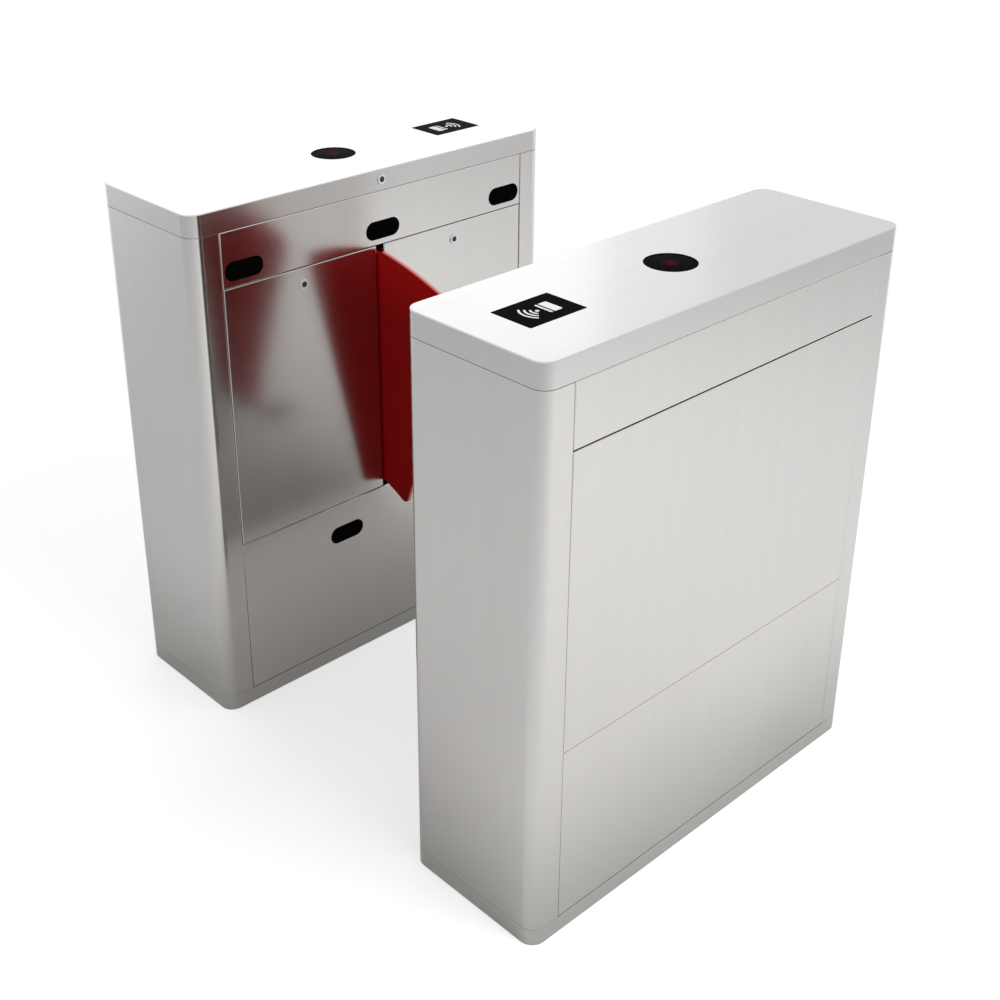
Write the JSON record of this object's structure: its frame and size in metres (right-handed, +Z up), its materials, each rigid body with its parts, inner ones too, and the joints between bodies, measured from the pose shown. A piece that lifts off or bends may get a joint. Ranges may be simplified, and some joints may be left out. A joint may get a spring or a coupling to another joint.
{
  "type": "flap barrier turnstile",
  "caption": "Pair of steel cabinets beside a walkway, each with a red swinging flap on a geared arm, a hinged lid with reader and lamp, tilting doors, cam locks and sensor windows.",
  "frame": {"origin": "on the floor, in the middle between the cabinets' outer faces and between their ends", "axes": "+Z up, +Y along the walkway from the end nearest the camera to the far end, +X across it from the left cabinet to the right one"},
  "size_m": [1.08, 0.812, 0.98],
  "materials": {
    "brushed_steel": "fine brushed stainless sheet, slightly mirroring",
    "red_polyurethane": "smooth moulded polyurethane",
    "black_window": "black infrared-clear acrylic",
    "zinc_steel": "zinc-plated steel plate",
    "hard_steel": "cut gear steel",
    "lock_chrome": "chromed zinc casting",
    "motor_black": "black enamel",
    "stop_rubber": "matt moulded rubber",
    "control_grey": "moulded case plastic"
  },
  "bodies": {
    "cabinets": {"left_base_tray": "brushed_steel", "left_near_end_shell": "brushed_steel", "left_far_end_shell": "brushed_steel", "left_inner_head_panel": "brushed_steel", "left_outer_head_panel": "brushed_steel", "left_inner_lower_panel": "brushed_steel", "left_outer_lower_panel": "brushed_steel", "left_outer_panel": "brushed_steel", "left_front_upper_sensor": "black_window", "left_middle_upper_sensor": "black_window", "left_rear_upper_sensor": "black_window", "left_front_lower_sensor": "black_window", "left_rear_lower_sensor": "black_window", "left_gear_motor": "motor_black", "left_mechanism_bracket": "zinc_steel", "left_stop_bumper": "stop_rubber", "left_control_box": "control_grey", "right_base_tray": "brushed_steel", "right_near_end_shell": "brushed_steel", "right_far_end_shell": "brushed_steel", "right_inner_head_panel": "brushed_steel", "right_outer_head_panel": "brushed_steel", "right_inner_lower_panel": "brushed_steel", "right_outer_lower_panel": "brushed_steel", "right_outer_panel": "brushed_steel", "right_front_upper_sensor": "black_window", "right_middle_upper_sensor": "black_window", "right_rear_upper_sensor": "black_window", "right_front_lower_sensor": "black_window", "right_rear_lower_sensor": "black_window", "right_gear_motor": "motor_black", "right_mechanism_bracket": "zinc_steel", "right_stop_bumper": "stop_rubber", "right_control_box": "control_grey"},
    "left_flap": {"left_flap_panel": "red_polyurethane", "left_swing_arm": "zinc_steel", "left_drive_sector": "hard_steel"},
    "left_pinion": {"left_motor_pinion": "hard_steel"},
    "left_front_door": {"left_front_inner_door": "brushed_steel"},
    "left_rear_door": {"left_rear_inner_door": "brushed_steel"},
    "left_lid": {"left_lid": "brushed_steel", "left_reader_window": "black_window", "left_reader_module": "control_grey", "left_indicator_lamp": "black_window"},
    "left_front_door_lock": {"left_front_door_lock": "lock_chrome"},
    "left_rear_door_lock": {"left_rear_door_lock": "lock_chrome"},
    "left_lid_lock": {"left_lid_lock": "lock_chrome"},
    "right_flap": {"right_flap_panel": "red_polyurethane", "right_swing_arm": "zinc_steel", "right_drive_sector": "hard_steel"},
    "right_pinion": {"right_motor_pinion": "hard_steel"},
    "right_front_door": {"right_front_inner_door": "brushed_steel"},
    "right_rear_door": {"right_rear_inner_door": "brushed_steel"},
    "right_lid": {"right_lid": "brushed_steel", "right_reader_window": "black_window", "right_reader_module": "control_grey", "right_indicator_lamp": "black_window"},
    "right_front_door_lock": {"right_front_door_lock": "lock_chrome"},
    "right_rear_door_lock": {"right_rear_door_lock": "lock_chrome"},
    "right_lid_lock": {"right_lid_lock": "lock_chrome"}
  },
  "joints": [
    {"name": "left_flap_swing", "type": "hinge", "parent": "cabinets", "child": "left_flap", "pos_m": [-0.365, -0.008, 0.06], "axis": [0, -1, 0], "range_deg": [0, 18]},
    {"name": "left_pinion_spin", "type": "hinge", "parent": "cabinets", "child": "left_pinion", "pos_m": [-0.4693, -0.008, 0.08803], "axis": [0, -1, 0], "range_deg": [-54, 0]},
    {"name": "left_front_door_tilt", "type": "hinge", "parent": "cabinets", "child": "left_front_door", "pos_m": [-0.265, -0.182, 0.346], "axis": [0, 1, 0], "range_deg": [0, 20]},
    {"name": "left_rear_door_tilt", "type": "hinge", "parent": "cabinets", "child": "left_rear_door", "pos_m": [-0.265, 0.174, 0.346], "axis": [0, 1, 0], "range_deg": [0, 20]},
    {"name": "left_lid_tilt", "type": "hinge", "parent": "cabinets", "child": "left_lid", "pos_m": [-0.54, 0, 0.9408], "axis": [0, -1, 0], "range_deg": [0, 75]},
    {"name": "left_front_door_lock_turn", "type": "hinge", "parent": "left_front_door", "child": "left_front_door_lock", "pos_m": [-0.265, -0.182, 0.808], "axis": [1, 0, 0], "range_deg": [0, 180]},
    {"name": "left_rear_door_lock_turn", "type": "hinge", "parent": "left_rear_door", "child": "left_rear_door_lock", "pos_m": [-0.265, 0.174, 0.808], "axis": [1, 0, 0], "range_deg": [0, 180]},
    {"name": "left_lid_lock_turn", "type": "hinge", "parent": "left_lid", "child": "left_lid_lock", "pos_m": [-0.265, 0, 0.961], "axis": [1, 0, 0], "range_deg": [0, 90]},
    {"name": "right_flap_swing", "type": "hinge", "parent": "cabinets", "child": "right_flap", "pos_m": [0.365, 0.008, 0.06], "axis": [0, 1, 0], "range_deg": [0, 18]},
    {"name": "right_pinion_spin", "type": "hinge", "parent": "cabinets", "child": "right_pinion", "pos_m": [0.4693, 0.008, 0.08803], "axis": [0, 1, 0], "range_deg": [-54, 0]},
    {"name": "right_front_door_tilt", "type": "hinge", "parent": "cabinets", "child": "right_front_door", "pos_m": [0.265, 0.182, 0.346], "axis": [0, -1, 0], "range_deg": [0, 20]},
    {"name": "right_rear_door_tilt", "type": "hinge", "parent": "cabinets", "child": "right_rear_door", "pos_m": [0.265, -0.174, 0.346], "axis": [0, -1, 0], "range_deg": [0, 20]},
    {"name": "right_lid_tilt", "type": "hinge", "parent": "cabinets", "child": "right_lid", "pos_m": [0.54, 0, 0.9408], "axis": [0, 1, 0], "range_deg": [0, 75]},
    {"name": "right_front_door_lock_turn", "type": "hinge", "parent": "right_front_door", "child": "right_front_door_lock", "pos_m": [0.265, 0.182, 0.808], "axis": [-1, 0, 0], "range_deg": [0, 180]},
    {"name": "right_rear_door_lock_turn", "type": "hinge", "parent": "right_rear_door", "child": "right_rear_door_lock", "pos_m": [0.265, -0.174, 0.808], "axis": [-1, 0, 0], "range_deg": [0, 180]},
    {"name": "right_lid_lock_turn", "type": "hinge", "parent": "right_lid", "child": "right_lid_lock", "pos_m": [0.265, 0, 0.961], "axis": [-1, 0, 0], "range_deg": [0, 90]}
  ],
  "couplings": [
    {"joint": "left_pinion_spin", "follows": "left_flap_swing", "ratio": -3},
    {"joint": "right_pinion_spin", "follows": "right_flap_swing", "ratio": -3}
  ]
}
